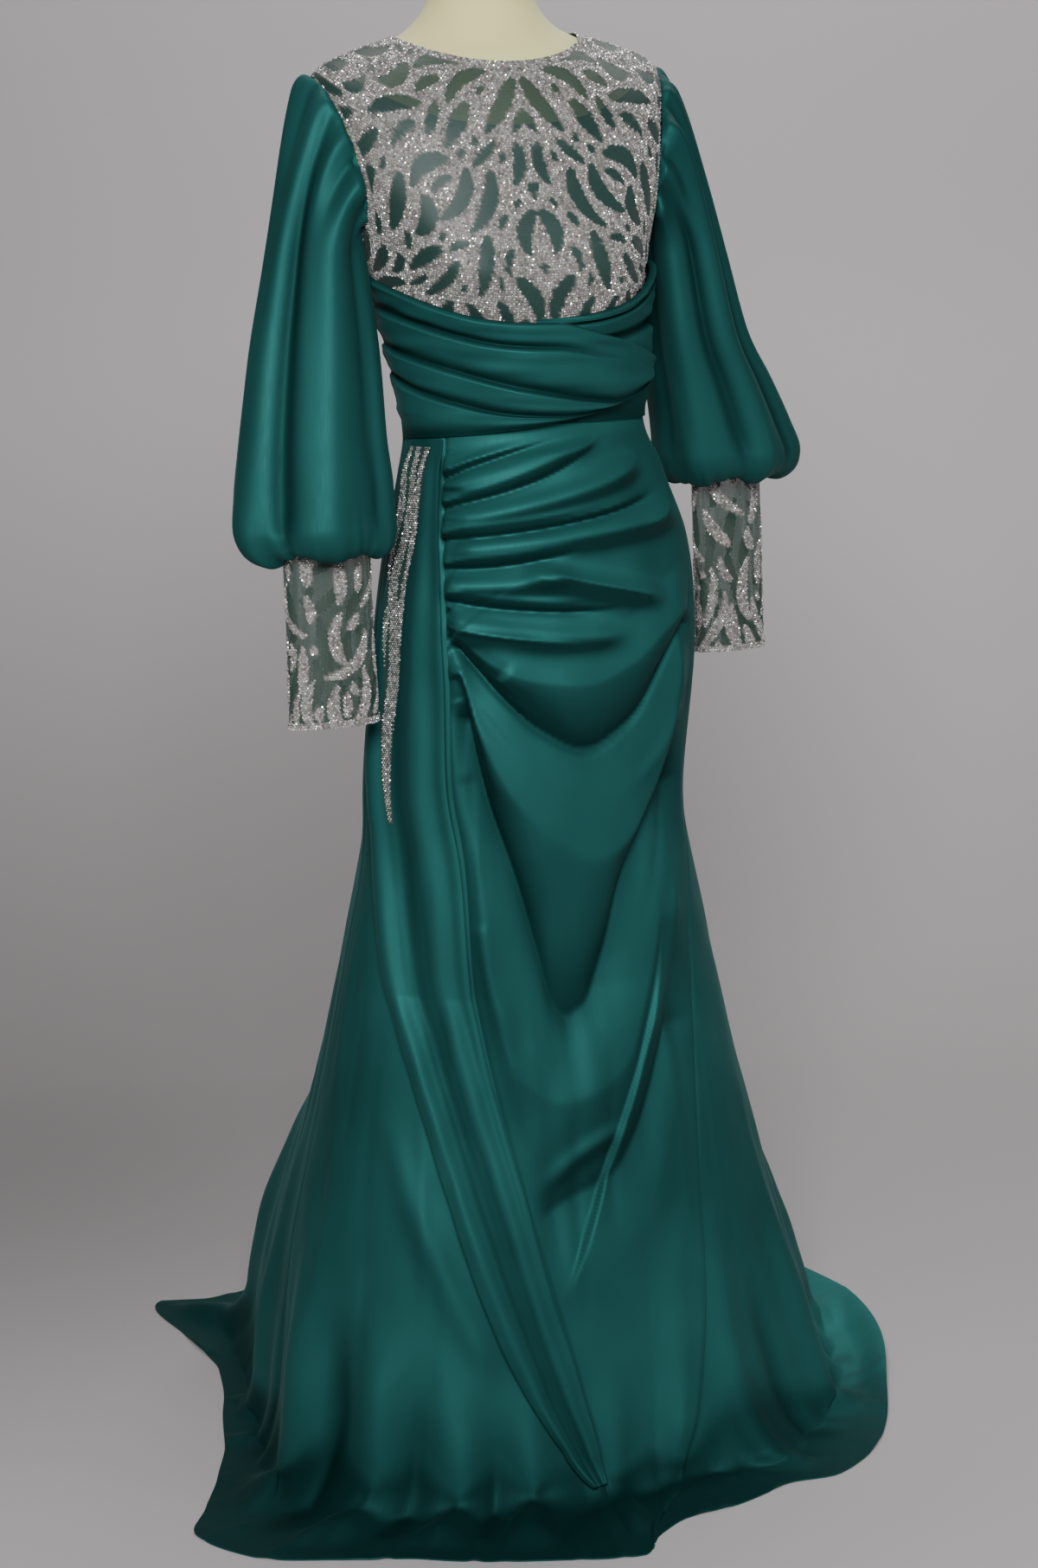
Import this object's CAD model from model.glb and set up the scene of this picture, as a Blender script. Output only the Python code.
import math
import bpy
import numpy as np
from mathutils import Matrix


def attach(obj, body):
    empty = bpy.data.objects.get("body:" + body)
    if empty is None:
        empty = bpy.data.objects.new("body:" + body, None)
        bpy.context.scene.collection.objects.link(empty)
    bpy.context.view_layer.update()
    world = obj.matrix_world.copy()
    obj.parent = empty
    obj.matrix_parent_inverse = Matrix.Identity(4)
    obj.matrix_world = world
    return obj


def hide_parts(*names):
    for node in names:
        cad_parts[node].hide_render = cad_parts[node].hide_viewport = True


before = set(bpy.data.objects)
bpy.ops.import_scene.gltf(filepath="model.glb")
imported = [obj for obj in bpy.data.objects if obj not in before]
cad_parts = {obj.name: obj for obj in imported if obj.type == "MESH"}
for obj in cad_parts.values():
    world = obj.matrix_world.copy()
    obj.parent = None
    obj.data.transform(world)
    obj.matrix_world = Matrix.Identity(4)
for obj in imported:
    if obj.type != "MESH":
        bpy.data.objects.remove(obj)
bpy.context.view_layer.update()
print("gown: frame loaded")

# the camera stands in front and to the left, above the bust, and looks down a little
view = dict(distance=2.865, height=1.38, around=18.075, down=12.35, roll=2.5, lens=60.6)


def placeCamera():
    around, down, roll = (math.radians(view[k]) for k in ("around", "down", "roll"))
    level = np.array([math.sin(around), math.cos(around), 0])
    right = np.array([math.cos(around), -math.sin(around), 0])
    up = np.array([0, 0, 1.0])
    ahead = level * math.cos(down) - up * math.sin(down)
    above = level * math.sin(down) + up * math.cos(down)
    side = right * math.cos(roll) - above * math.sin(roll)
    top = above * math.cos(roll) + right * math.sin(roll)
    eye = -np.array([math.sin(math.radians(18)), math.cos(math.radians(18)), 0]) * view["distance"]
    eye[2] = view["height"]
    data = bpy.data.cameras.new("camera")
    data.lens, data.sensor_width = view["lens"], 36
    camera = bpy.data.objects.new("camera", data)
    bpy.context.collection.objects.link(camera)
    camera.matrix_world = Matrix(
        [[side[i], top[i], -ahead[i], eye[i]] for i in range(3)] + [[0, 0, 0, 1]])
    bpy.context.scene.camera = camera


placeCamera()

# small maths, all on arrays and in millimetres


def mix(a, b, share):
    return a + (b - a) * share


def bell(x, centre, width):
    return np.exp(-(((x - centre) / width) ** 2))


def ease(start, end, x):
    share = np.clip((x - start) / (end - start), 0, 1)
    return share * share * (3 - 2 * share)


def wrapAngle(angle):
    return angle - 360 * np.round(angle / 360)


def bend(x, power):
    return np.sign(x) * np.abs(x) ** power


def points3(x, y, z):
    return np.stack(np.broadcast_arrays(x, y, z), axis=-1).astype(float)


def unit(v):
    return v / np.maximum(np.linalg.norm(v, axis=-1, keepdims=True), 1e-12)


# rows of a table as a smooth function of its first column, with no overshoot
def curve(rows, column=1, period=0):
    pairs = sorted((row[0], row[column]) for row in rows)
    if period:
        pairs = [(at + by, value) for by in (-period, 0, period) for at, value in pairs]
    at, value = np.array(pairs, float).T
    slope = np.diff(value) / np.diff(at)
    before, after = np.append(slope[:1], slope), np.append(slope, slope[-1:])
    total = np.where(before + after == 0, 1, before + after)
    tangent = np.where(before * after <= 0, 0, 2 * before * after / total)

    def read(x):
        x = np.clip(np.asarray(x, float), at[0], at[-1])
        i = np.clip(np.searchsorted(at, x) - 1, 0, len(at) - 2)
        width = at[i + 1] - at[i]
        s = (x - at[i]) / width
        return (value[i] * (1 + 2 * s) * (1 - s) ** 2 + value[i + 1] * s * s * (3 - 2 * s)
                + width * s * (1 - s) * (tangent[i] * (1 - s) - tangent[i + 1] * s))
    return read


# a surface's points moved out along its normal; u runs right and v down, seen from outside
def raised(surface, u, v, out, du=0.6, dv=0.02):
    right = surface(u + du, v) - surface(u - du, v)
    down = surface(u, v + dv) - surface(u, v - dv)
    return surface(u, v) + unit(np.cross(down, right)) * np.asarray(out)[..., None]


# slow uneven waves through space, longer along the fall than across it
def softWaves(points, size, long=1.0, seed=3, waves=9):
    rng = np.random.default_rng(seed)
    total = 0
    for _ in range(waves):
        way = unit(rng.normal(size=3))
        step = 2 * np.pi / (size * rng.uniform(0.7, 1.5))
        total = total + np.cos((points * way * [1, 1, 1 / long]).sum(-1) * step + rng.uniform(0, 6.3))
    return total / math.sqrt(waves / 2)


# the dress form

# row, front / side / back height, half width, front and back depth, x, y, roundness
formRings = [
    (0, 1625, 1626, 1628, 54, 54, 56, 0, 6, 1),  # neck top
    (1, 1586, 1592, 1598, 57, 58, 60, 0, 4, 1),
    (2, 1546, 1566, 1578, 75, 72, 70, 0, 2, 1),
    (3, 1522, 1553, 1560, 98, 92, 82, 0, 0, 1),  # neckline
    (4, 1481, 1540, 1514, 141, 112, 99, 0, 0, 0.94),
    (5, 1438, 1516, 1466, 183, 125, 108, 0, 0, 0.86),  # shoulder tip
    (6, 1397, 1452, 1414, 181, 137, 112, 0, -2, 0.84),
    (7, 1352, 1386, 1362, 168, 147, 108, 1, -5, 0.88),  # armpit
    (8, 1316, 1350, 1326, 157, 148, 103, 3, -8, 0.92),
    (9, 1262, 1316, 1288, 147, 134, 97, 7, -14, 0.96),  # under the bust
    (10, 1212, 1236, 1224, 135, 118, 90, 12, -22, 1),
    (11, 1160, 1160, 1160, 128, 102, 84, 16, -30, 1),  # waist
    (12, 1060, 1060, 1060, 148, 104, 104, 18, -32, 1),
    (13, 930, 930, 930, 162, 102, 116, 16, -30, 1),  # hip
    (14, 800, 800, 800, 148, 94, 106, 8, -22, 1),
]
form = dict(bustHeight=1322, bustApex=28, bustSpread=17, bustRise=46, bustDepth=13,
            armTop=5, armBottom=7.5, armFront=30, armBack=27)
ring = [curve(formRings, k) for k in range(1, 10)]


def body(angle, row):
    zFront, zSide, zBack, half, front, back, x, y, power = (read(row) for read in ring)
    turn = wrapAngle(angle)
    s, c = np.sin(np.radians(turn)), np.cos(np.radians(turn))
    z = mix(zSide, np.where(c > 0, zFront, zBack), np.abs(c) ** 1.4)
    swell = bell(turn, form["bustApex"], form["bustSpread"]) + bell(turn, -form["bustApex"], form["bustSpread"])
    out = form["bustDepth"] * bell(z, form["bustHeight"], form["bustRise"]) * swell
    return points3(x + half * bend(s, power) + out * s,
                   y - np.where(c > 0, front, back) * bend(c, power) - out * c, z)


def bodyAtHeight(angle, z):
    upper, lower = np.full(np.shape(z), 5.0), np.full(np.shape(z), 13.0)
    for _ in range(16):
        row = (upper + lower) / 2
        above = body(angle, row)[..., 2] > z
        upper, lower = np.where(above, row, upper), np.where(above, lower, row)
    return body(angle, (upper + lower) / 2)


def armholeWidth(row, width):
    half = (form["armBottom"] - form["armTop"]) / 2
    away = (row - form["armTop"] - half) / half
    return width * np.sqrt(np.maximum(0, 1 - away * away))


def frontEdge(row):
    return 90 - armholeWidth(row, form["armFront"])


def backEdge(row):
    return 90 + armholeWidth(row, form["armBack"])


# meshes


def gridNormals(points, tube):
    across = np.roll(points, -1, 1) - np.roll(points, 1, 1) if tube else np.gradient(points, axis=1)
    return unit(np.cross(np.gradient(points, axis=0), across))


def runLengths(points, axis):
    steps = np.linalg.norm(np.diff(points, axis=axis), axis=-1).mean(axis=1 - axis)
    return np.concatenate([[0], np.cumsum(steps)])


def makeObject(name, points, faces, material, uv=None, smooth=True):
    mesh = bpy.data.meshes.new(name)
    mesh.from_pydata((points / 1000).tolist(), [], faces)
    mesh.polygons.foreach_set("use_smooth", [smooth] * len(mesh.polygons))
    if uv is not None:
        mesh.uv_layers.new(name="cut").data.foreach_set("uv", uv.ravel())
    mesh.materials.append(material)
    piece = bpy.data.objects.new(name, mesh)
    bpy.context.collection.objects.link(piece)
    return piece


# a sheet of cloth from a grid of points, with a thin rim along the edges that are named
def cloth(name, points, material, slot, stands=(), rims="tblr", rim=1.1, tube=False, marks=None, dim=None):
    rows, cols = points.shape[:2]
    index = np.arange(rows * cols).reshape(rows, cols)
    wide = np.concatenate([index, index[:, :1]], 1) if tube else index
    quads = np.stack([wide[:-1, :-1], wide[1:, :-1], wide[1:, 1:], wide[:-1, 1:]], -1).reshape(-1, 4)
    closed = np.concatenate([points, points[:, :1]], 1) if tube else points
    u, v = runLengths(closed, 1) / 1000, runLengths(closed, 0) / 1000
    flat = np.stack(np.meshgrid(u, v), -1)
    uv = np.stack([flat[:-1, :-1], flat[1:, :-1], flat[1:, 1:], flat[:-1, 1:]], 2).reshape(-1, 4, 2)
    every, uvs, allPoints = [quads], [uv], [points.reshape(-1, 3)]
    start = rows * cols
    inward = points - gridNormals(points, tube) * rim
    edges = dict(t=(0, slice(None)), b=(rows - 1, slice(None)), l=(slice(None), 0), r=(slice(None), cols - 1))
    for side in rims:
        if tube and side in "lr":
            continue
        j, i = edges[side]
        outer, inner = points[j, i], inward[j, i]
        n = len(outer)
        first = np.arange(n if tube else n - 1)
        after = (first + 1) % n
        strip = np.stack([start + first, start + n + first, start + n + after, start + after], -1)
        if side in "br":
            strip = strip[:, ::-1]
        if side in "lr":
            strip = strip[:, ::-1]
        if side in "tl":
            strip = strip[:, ::-1]
        every.append(strip)
        uvs.append(np.zeros((len(strip), 4, 2)))
        allPoints += [outer, inner]
        start += 2 * n
    piece = makeObject(name, np.concatenate(allPoints), np.concatenate(every).tolist(), material,
                       np.concatenate(uvs))
    # where a net is beaded, and how much light a satin gives back
    for label, share, rest in (("beaded", marks, 0), ("nap", dim, 1)):
        if share is not None or (label == "nap" and slot == "satin"):
            values = np.full(len(piece.data.vertices), float(rest))
            if share is not None:
                values[: share.size] = share.ravel()
            piece.data.attributes.new(label, "FLOAT", "POINT").data.foreach_set("value", values)
    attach(piece, "gown")
    if stands:
        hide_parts(*stands)
    areas = np.linalg.norm(np.cross(closed[1:, :-1] - closed[:-1, :-1], closed[:-1, 1:] - closed[:-1, :-1]), axis=-1)
    print(f"gown: {name}, {len(quads) * 2} triangles, {areas.sum() / 1e6:.3f} square metres, {u[-1]:.3f} x {v[-1]:.3f}")
    return piece


# small faceted stones, joined in one mesh
def stones(name, spots, normals, radius, material, seed):
    rng = np.random.default_rng(seed)
    count = len(spots)
    normals = unit(normals + rng.normal(scale=0.3, size=normals.shape))
    side = unit(np.cross(normals, unit(rng.normal(size=(count, 3)))))
    other = np.cross(normals, side)
    turn = np.radians(np.arange(6) * 60)
    size = radius * rng.uniform(0.86, 1.14, count)
    rings = []
    for share, high in ((1, 0), (0.56, 0.62)):
        around = side[:, None] * np.cos(turn)[None, :, None] + other[:, None] * np.sin(turn)[None, :, None]
        rings.append(spots[:, None] + (around * share + normals[:, None] * high) * size[:, None, None])
    points = np.concatenate(rings, 1).reshape(-1, 3)
    one = [(k, (k + 1) % 6, 6 + (k + 1) % 6, 6 + k) for k in range(6)]
    base = (np.arange(count) * 12)[:, None, None]
    sides = (np.array(one)[None] + base).reshape(-1, 4).tolist()
    tops = (np.arange(6, 12)[None] + base[:, 0]).tolist()
    piece = makeObject(name, points, sides + tops, material, smooth=False)
    tint = piece.data.color_attributes.new("tint", "FLOAT_COLOR", "POINT")
    shade = (0.22 + 0.5 * rng.random(count) + 0.4 * (rng.random(count) > 0.86))[:,
                                                                      None] * mix(np.array([1, 0.96, 0.91]),
                                                                      rng.uniform(0.6, 1, (count, 3)), 0.4)
    colours = np.concatenate([shade, np.ones((count, 1))], 1).repeat(12, 0)
    tint.data.foreach_set("color", colours.ravel())
    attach(piece, "gown")
    print(f"gown: {name}, {count} stones")
    return piece


# materials


def newMaterial(name):
    material = bpy.data.materials.new(name)
    material.use_nodes = True
    tree = material.node_tree
    return material, tree, tree.nodes["Principled BSDF"]


def addNode(tree, kind, settings=None, **sockets):
    node = tree.nodes.new(kind)
    for key, value in (settings or {}).items():
        setattr(node, key, value)
    for key, value in sockets.items():
        node.inputs[key.replace("_", " ")].default_value = value
    return node


def setSockets(shader, **sockets):
    for key, value in sockets.items():
        shader.inputs[key.replace("_", " ")].default_value = value


# noise, stretched by a scale on each axis, as a value
def noise(tree, coordinate, scale, detail=2.0, stretch=(1, 1, 1)):
    source = addNode(tree, "ShaderNodeTexCoord")
    mapping = addNode(tree, "ShaderNodeMapping", Scale=stretch)
    tree.links.new(source.outputs[coordinate], mapping.inputs["Vector"])
    texture = addNode(tree, "ShaderNodeTexNoise", Scale=scale, Detail=detail)
    tree.links.new(mapping.outputs["Vector"], texture.inputs["Vector"])
    return texture.outputs["Fac"]


def ramp(tree, source, stops):
    node = addNode(tree, "ShaderNodeValToRGB")
    tree.links.new(source, node.inputs["Fac"])
    for element, (at, colour) in zip(node.color_ramp.elements, stops):
        element.position, element.color = at, (*colour, 1)
    return node.outputs["Color"]


def bump(tree, shader, source, strength, distance, previous=None):
    node = addNode(tree, "ShaderNodeBump", Strength=strength, Distance=distance)
    tree.links.new(source, node.inputs["Height"])
    if previous:
        tree.links.new(previous, node.inputs["Normal"])
    tree.links.new(node.outputs["Normal"], shader.inputs["Normal"])
    return node.outputs["Normal"]


satinLook = dict(dark=(0.0108, 0.069, 0.065), light=(0.0168, 0.101, 0.095), rough=(0.52, 0.62))


def satinMaterial(name, look):
    material, tree, shader = newMaterial(name)
    colour = ramp(tree, noise(tree, "Object", 5, 3), [(0.3, look["dark"]), (0.7, look["light"])])
    nap = addNode(tree, "ShaderNodeAttribute", {"attribute_name": "nap"})
    shaded = addNode(tree, "ShaderNodeMix", {"data_type": "RGBA"})
    tree.links.new(nap.outputs["Fac"], shaded.inputs["Factor"])
    shaded.clamp_factor = False
    shaded.inputs[6].default_value = (0, 0.004, 0.005, 1)
    tree.links.new(colour, shaded.inputs[7])
    tree.links.new(shaded.outputs[2], shader.inputs["Base Color"])
    warp = noise(tree, "UV", 1, 4, (1500, 40, 1))  # fine streaks down the warp
    weave = noise(tree, "UV", 1, 2, (5200, 2600, 1))
    slubs = noise(tree, "UV", 1, 2, (30, 400, 1))
    low, high = look["rough"]
    tree.links.new(ramp(tree, warp, [(0.3, (low,) * 3), (0.7, (high,) * 3)]), shader.inputs["Roughness"])
    first = bump(tree, shader, warp, 0.16, 0.0004)
    second = bump(tree, shader, weave, 0.12, 0.0003, first)
    bump(tree, shader, slubs, 0.08, 0.0004, second)
    setSockets(shader, Metallic=0.4, Sheen_Weight=0.03, Sheen_Roughness=0.4,
               Sheen_Tint=(0.3, 0.95, 0.9, 1), Specular_IOR_Level=0.4, Specular_Tint=(0.15, 0.5, 0.47, 1))
    return material


netLook = dict(thread=(0.035, 0.075, 0.055), silver=(0.25, 0.235, 0.215), cell=1 / 0.0013)


# sheer net, and under the beading a silver ground
def netMaterial(name, look):
    material, tree, shader = newMaterial(name)
    source = addNode(tree, "ShaderNodeTexCoord")
    cells = addNode(tree, "ShaderNodeTexVoronoi", {"feature": "DISTANCE_TO_EDGE"}, Scale=look["cell"],
                    Randomness=0.25)
    tree.links.new(source.outputs["UV"], cells.inputs["Vector"])
    threads = ramp(tree, cells.outputs["Distance"], [(0.06, (1, 1, 1)), (0.22, (look["open"],) * 3)])
    covered = addNode(tree, "ShaderNodeAttribute", {"attribute_name": "beaded"})
    glint = ramp(tree, noise(tree, "UV", 900, 2), [(0.3, (0.09, 0.085, 0.08)), (0.68, look["silver"])])
    green = ramp(tree, noise(tree, "Object", 30, 2),
                 [(0.3, tuple(c * 0.8 for c in look["thread"])), (0.7, look["thread"])])
    colour = addNode(tree, "ShaderNodeMix", {"data_type": "RGBA"})
    tree.links.new(covered.outputs["Fac"], colour.inputs["Factor"])
    tree.links.new(green, colour.inputs[6])
    tree.links.new(glint, colour.inputs[7])
    tree.links.new(colour.outputs[2], shader.inputs["Base Color"])
    alpha = addNode(tree, "ShaderNodeMath", {"operation": "MAXIMUM"})
    tree.links.new(threads, alpha.inputs[0])
    tree.links.new(covered.outputs["Fac"], alpha.inputs[1])
    tree.links.new(alpha.outputs["Value"], shader.inputs["Alpha"])
    bump(tree, shader, noise(tree, "UV", 1200, 2), 0.5, 0.0006)
    setSockets(shader, Roughness=0.42, Sheen_Weight=0.1)
    return material


def stoneMaterial():
    material, tree, shader = newMaterial("silver stones")
    tint = addNode(tree, "ShaderNodeAttribute", {"attribute_name": "tint"})
    tree.links.new(tint.outputs["Color"], shader.inputs["Base Color"])
    tree.links.new(ramp(tree, noise(tree, "Object", 240, 1), [(0.3, (0.1,) * 3), (0.7, (0.24,) * 3)]),
                   shader.inputs["Roughness"])
    setSockets(shader, Metallic=0.5, Coat_Weight=0.5, Coat_Roughness=0.05)
    return material


def jerseyMaterial():
    material, tree, shader = newMaterial("cream jersey")
    tree.links.new(ramp(tree, noise(tree, "Object", 12, 3), [(0.3, (0.73, 0.68, 0.28)), (0.7, (0.80, 0.75, 0.32))]),
                   shader.inputs["Base Color"])
    source = addNode(tree, "ShaderNodeTexCoord")
    knit = addNode(tree, "ShaderNodeTexVoronoi", {"feature": "F1"}, Scale=900, Randomness=0.3)
    tree.links.new(source.outputs["UV"], knit.inputs["Vector"])
    first = bump(tree, shader, knit.outputs["Distance"], 0.25, 0.0005)
    bump(tree, shader, noise(tree, "UV", 1, 2, (1400, 200, 1)), 0.15, 0.0004, first)
    setSockets(shader, Roughness=0.85, Sheen_Weight=0.2, Sheen_Roughness=0.6)
    return material


def metalMaterial(name, colour, rough, stretch):
    material, tree, shader = newMaterial(name)
    brushed = noise(tree, "Object", 60, 3, stretch)
    tree.links.new(ramp(tree, brushed, [(0.3, tuple(c * 0.8 for c in colour)), (0.7, colour)]),
                   shader.inputs["Base Color"])
    tree.links.new(ramp(tree, brushed, [(0.3, (rough * 0.8,) * 3), (0.7, (rough * 1.25,) * 3)]),
                   shader.inputs["Roughness"])
    bump(tree, shader, brushed, 0.15, 0.0003)
    setSockets(shader, Metallic=1.0)
    return material


satin = satinMaterial("emerald satin", satinLook)
yokeNet = netMaterial("beaded yoke net", dict(netLook, thread=(0.016, 0.052, 0.043), open=0.66))
cuffNet = netMaterial("beaded cuff net", dict(netLook, thread=(0.012, 0.05, 0.035), open=0.3))
silver = stoneMaterial()
jersey = jerseyMaterial()
print("gown: materials made")


# the dress form and its stand


def makeForm():
    angles = np.arange(0, 360, 3.0)
    rows = np.concatenate([np.linspace(0, 3, 26), np.linspace(3, 10, 80)[1:], np.linspace(10, 14, 50)[1:]])
    grid = body(angles[None, :] + 0 * rows[:, None], rows[:, None] + 0 * angles[None, :])
    middle = np.array([0, -10, 0])

    def shrunk(loop, share, lift):
        ringPoints = (loop - middle) * [share, share, 1] + middle
        ringPoints[:, 0] = loop[:, 0] * share
        ringPoints[:, 2] += lift
        return ringPoints
    # the neck's top is a low dome, and the lower end a flat plug
    top = [shrunk(grid[0], share, lift) for share, lift in ((0.02, 5.4), (0.4, 5.2), (0.72, 4.9), (0.9, 3.4),
                                                            (0.97, 1.5))]
    bottom = [shrunk(grid[-1], share, lift) for share, lift in ((0.95, -8), (0.7, -13.6), (0.3, -13.8), (0.02, -13.9))]
    cloth("form", np.concatenate([top, grid, bottom]), jersey, "jersey", ["dress_form"], rims="", tube=True)


makeForm()
for name, colour, rough, stretch in (("stand_base", (0.5, 0.5, 0.52), 0.32, (1, 1, 8)),
                                     ("stand_pole", (0.55, 0.55, 0.57), 0.25, (6, 6, 0.3))):
    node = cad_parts[name]
    node.data.materials.clear()
    node.data.materials.append(metalMaterial("brushed " + name.replace("_", " "), colour, rough, stretch))
for name in ("zip_slider", "zip_pull"):
    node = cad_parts[name]
    node.data.materials.clear()
    node.data.materials.append(metalMaterial("zinc " + name.replace("_", " "), (0.42, 0.44, 0.43), 0.3, (1, 1, 3)))
print("gown: form and stand dressed")


# the bodice


def bodiceGrid(fromAngle, toAngle, top, bottom, cols, rows, lift, ripple=0.35):
    row = np.linspace(top, bottom, rows + 1)[:, None] + np.zeros(cols + 1)
    angle = mix(fromAngle(row), toAngle(row), np.linspace(0, 1, cols + 1))
    grid = raised(body, angle, row, lift + 0 * row)
    return raised(body, angle, row, lift + ripple * softWaves(grid, 46, 1.6))


def makeBodice():
    piece = cloth("bust_satin", bodiceGrid(lambda r: -frontEdge(r) + 0.2, lambda r: frontEdge(r) - 0.2, 4.5, 9, 80, 70,
                                           1.5), satin, "satin", ["bust_panel"])
    right = cloth("back_right", bodiceGrid(lambda r: backEdge(r) + 0.1, lambda r: 180 + 0 * r, 3, 10.7, 60, 110, 3.2),
                  satin, "satin", ["back_right_panel"])
    left = cloth("back_left", bodiceGrid(lambda r: 180 + 0 * r, lambda r: 360 - backEdge(r) - 0.1, 3, 10.7, 60, 110,
                                         3.2), satin, "satin", ["back_left_panel"])


yoke = dict(top=3, bottom=9, lift=3.2, pitch=2.95, radius=1.42, neckBand=8.5, armBand=6.5, sheet=(225, 340),
            openings=dict(seed=19, gap=6.6, touch=0.03,
                          sizes=[(600, 66, 8.4), (1800, 43, 7.0), (4000, 28, 5.3), (5000, 16, 3.9)]))


# leaf strokes packed over a flat sheet of 1 mm cells; sizes are tries, length and half width
def packStrokes(wide, high, look, heading, root, sparser=None):
    rng = np.random.default_rng(look["seed"])
    taken, near = np.zeros((high, wide), bool), np.zeros((high, wide), bool)
    for tries, length, half in look["sizes"]:
        for _ in range(tries):
            x, y = root(rng)
            reach, lean = length * rng.uniform(0.7, 1.2), math.radians(rng.uniform(-62, 62))
            steps = max(5, int(reach / 2))
            line = []
            for k in range(steps):
                way = heading(x, y) + lean * (1 - 1.3 * k / steps)
                x, y = x + math.cos(way) * 2, y + math.sin(way) * 2
                line.append((x, y))
            line = np.array(line)
            radii = half * rng.uniform(0.8, 1.1) * np.sin(np.pi * np.linspace(0.09, 0.95, steps) ** 0.85) ** 0.6
            low = np.maximum(0, (line.min(0) - 12).astype(int))
            top = np.minimum([wide, high], (line.max(0) + 12).astype(int))
            if (top - low < 6).any():
                continue
            gx, gy = np.meshgrid(np.arange(low[0], top[0]), np.arange(low[1], top[1]))
            away = np.hypot(gx[..., None] - line[:, 0], gy[..., None] - line[:, 1]) - radii
            away = away.min(-1)
            window = slice(low[1], top[1]), slice(low[0], top[0])
            core = away < 0
            if core.sum() < 30 or (core & near[window]).sum() > look["touch"] * core.sum():
                continue
            gap = look["gap"] + (sparser(y) if sparser else 0)
            taken[window] |= core
            near[window] |= away < gap
    return taken


# rows of spots over a surface that takes a share across and a distance down
def spotsOn(surface, length, pitch):
    found = []
    share = np.linspace(0, 1, 260)
    for k, v in enumerate(np.arange(pitch * 0.4, length, pitch * 0.87)):
        run = np.linalg.norm(np.diff(surface(share, v + 0 * share), axis=0), axis=1)
        run = np.concatenate([[0], np.cumsum(run)])
        at = np.arange(pitch * (0.3 + 0.5 * (k % 2)), run[-1] - pitch * 0.25, pitch)
        found.append(np.stack([np.interp(at, run, share), v + 0 * at, at - run[-1] / 2, 0 * at + run[-1] / 2]))
    return np.concatenate(found, 1)


def normalsOn(surface, share, v, du=0.004, dv=0.6):
    right = surface(share + du, v) - surface(share - du, v)
    down = surface(share, v + dv) - surface(share, v - dv)
    return unit(np.cross(down, right))


def profileOf(surface, share, stations):
    line = surface(share + 0 * stations, stations)
    return np.concatenate([[0], np.cumsum(np.linalg.norm(np.diff(line, axis=0), axis=1))])


def makeYoke():
    rows = np.linspace(yoke["top"], yoke["bottom"], 200)
    down = profileOf(lambda a, r: body(a, r), 22.0, rows)

    def surface(share, v, lift=yoke["lift"]):
        row = np.interp(v, down, rows)
        edge = frontEdge(row) - 0.2
        return raised(body, mix(-edge, edge, share), row, lift + 0 * row)

    # sprays that fan out and down from the middle of the neckline, the same on both sides
    wide, high = yoke["sheet"]

    def heading(x, y):
        return math.atan2(y + 70, 1.5 * x + 12) + 0.35 * math.sin(x / 31 - y / 44)
    openings = packStrokes(wide, high, yoke["openings"], heading,
                           lambda rng: (rng.uniform(-6, wide), rng.uniform(-10, high)))

    def covered(u, v, halfRun):
        opened = openings[np.clip(v, 0, high - 1).astype(int), np.clip(np.abs(u), 0, wide - 1).astype(int)]
        return ~opened | (v < yoke["neckBand"]) | (halfRun - np.abs(u) < yoke["armBand"])
    share, v = np.meshgrid(np.linspace(0, 1, 151), np.linspace(0, down[-1], 116))
    grid = surface(share, v)
    lengths = np.linalg.norm(np.diff(grid, axis=1), axis=-1).cumsum(1)
    u = np.concatenate([np.zeros((len(grid), 1)), lengths], 1) - lengths[:, -1:] / 2
    marks = covered(u, v, lengths[:, -1:] / 2).astype(float)
    net = cloth("yoke_net", grid, yokeNet, "beaded_net", ["yoke_front"], marks=marks)
    spot, at, across, halfRun = spotsOn(surface, down[-1], yoke["pitch"])
    inside = covered(across, at, halfRun)
    spot, at = spot[inside], at[inside]
    rng = np.random.default_rng(5)
    spot = np.clip(spot + rng.normal(scale=0.0007, size=spot.shape), 0.003, 0.997)
    at = np.clip(at + rng.normal(scale=0.22, size=at.shape), 0.8, down[-1] - 0.8)
    gems = stones("yoke_stones", surface(spot, at, yoke["lift"] + 0.15), normalsOn(surface, spot, at),
                  yoke["radius"], silver, 11)


makeBodice()
makeYoke()
print("gown: bodice made")


# the crossed waist

waistOver = dict(
    start=-89.8, end=66, height=9.5, folds=4, cols=190, thickness=1.8, flat=(0.48, 0.8),
    edges=[(-91, 8.86, 11.16), (-40, 8.86, 11.12), (0, 8.92, 11.0), (22, 9.32, 10.86), (45, 9.86, 10.66),
           (66, 10.3, 10.46)],
    # share along, then each pleat's upper edge as a share from the band's top to its foot
    pleats=[(0, 0, 0.25, 0.44, 0.61), (0.25, 0, 0.23, 0.5, 0.76), (0.5, 0, 0.24, 0.64, 0.92),
            (0.66, 0, 0.27, 0.82, 0.98),
            (0.8, 0, 0.3, 0.965, 0.99), (1, 0, 0.36, 0.97, 0.99)])
waistUnder = dict(
    start=-4, end=89.8, height=9.5, folds=3, cols=110, thickness=1.4, flat=(2, 3),
    edges=[(-4, 8.9, 11.02), (40, 8.87, 11.05), (91, 8.86, 11.08)],
    pleats=[(0, 0, 0.15, 0.42), (0.4, 0, 0.11, 0.35), (0.75, 0, 0.08, 0.3), (1, 0, 0.08, 0.3)])
underOut, overOut = 3.9, 13.4


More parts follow.
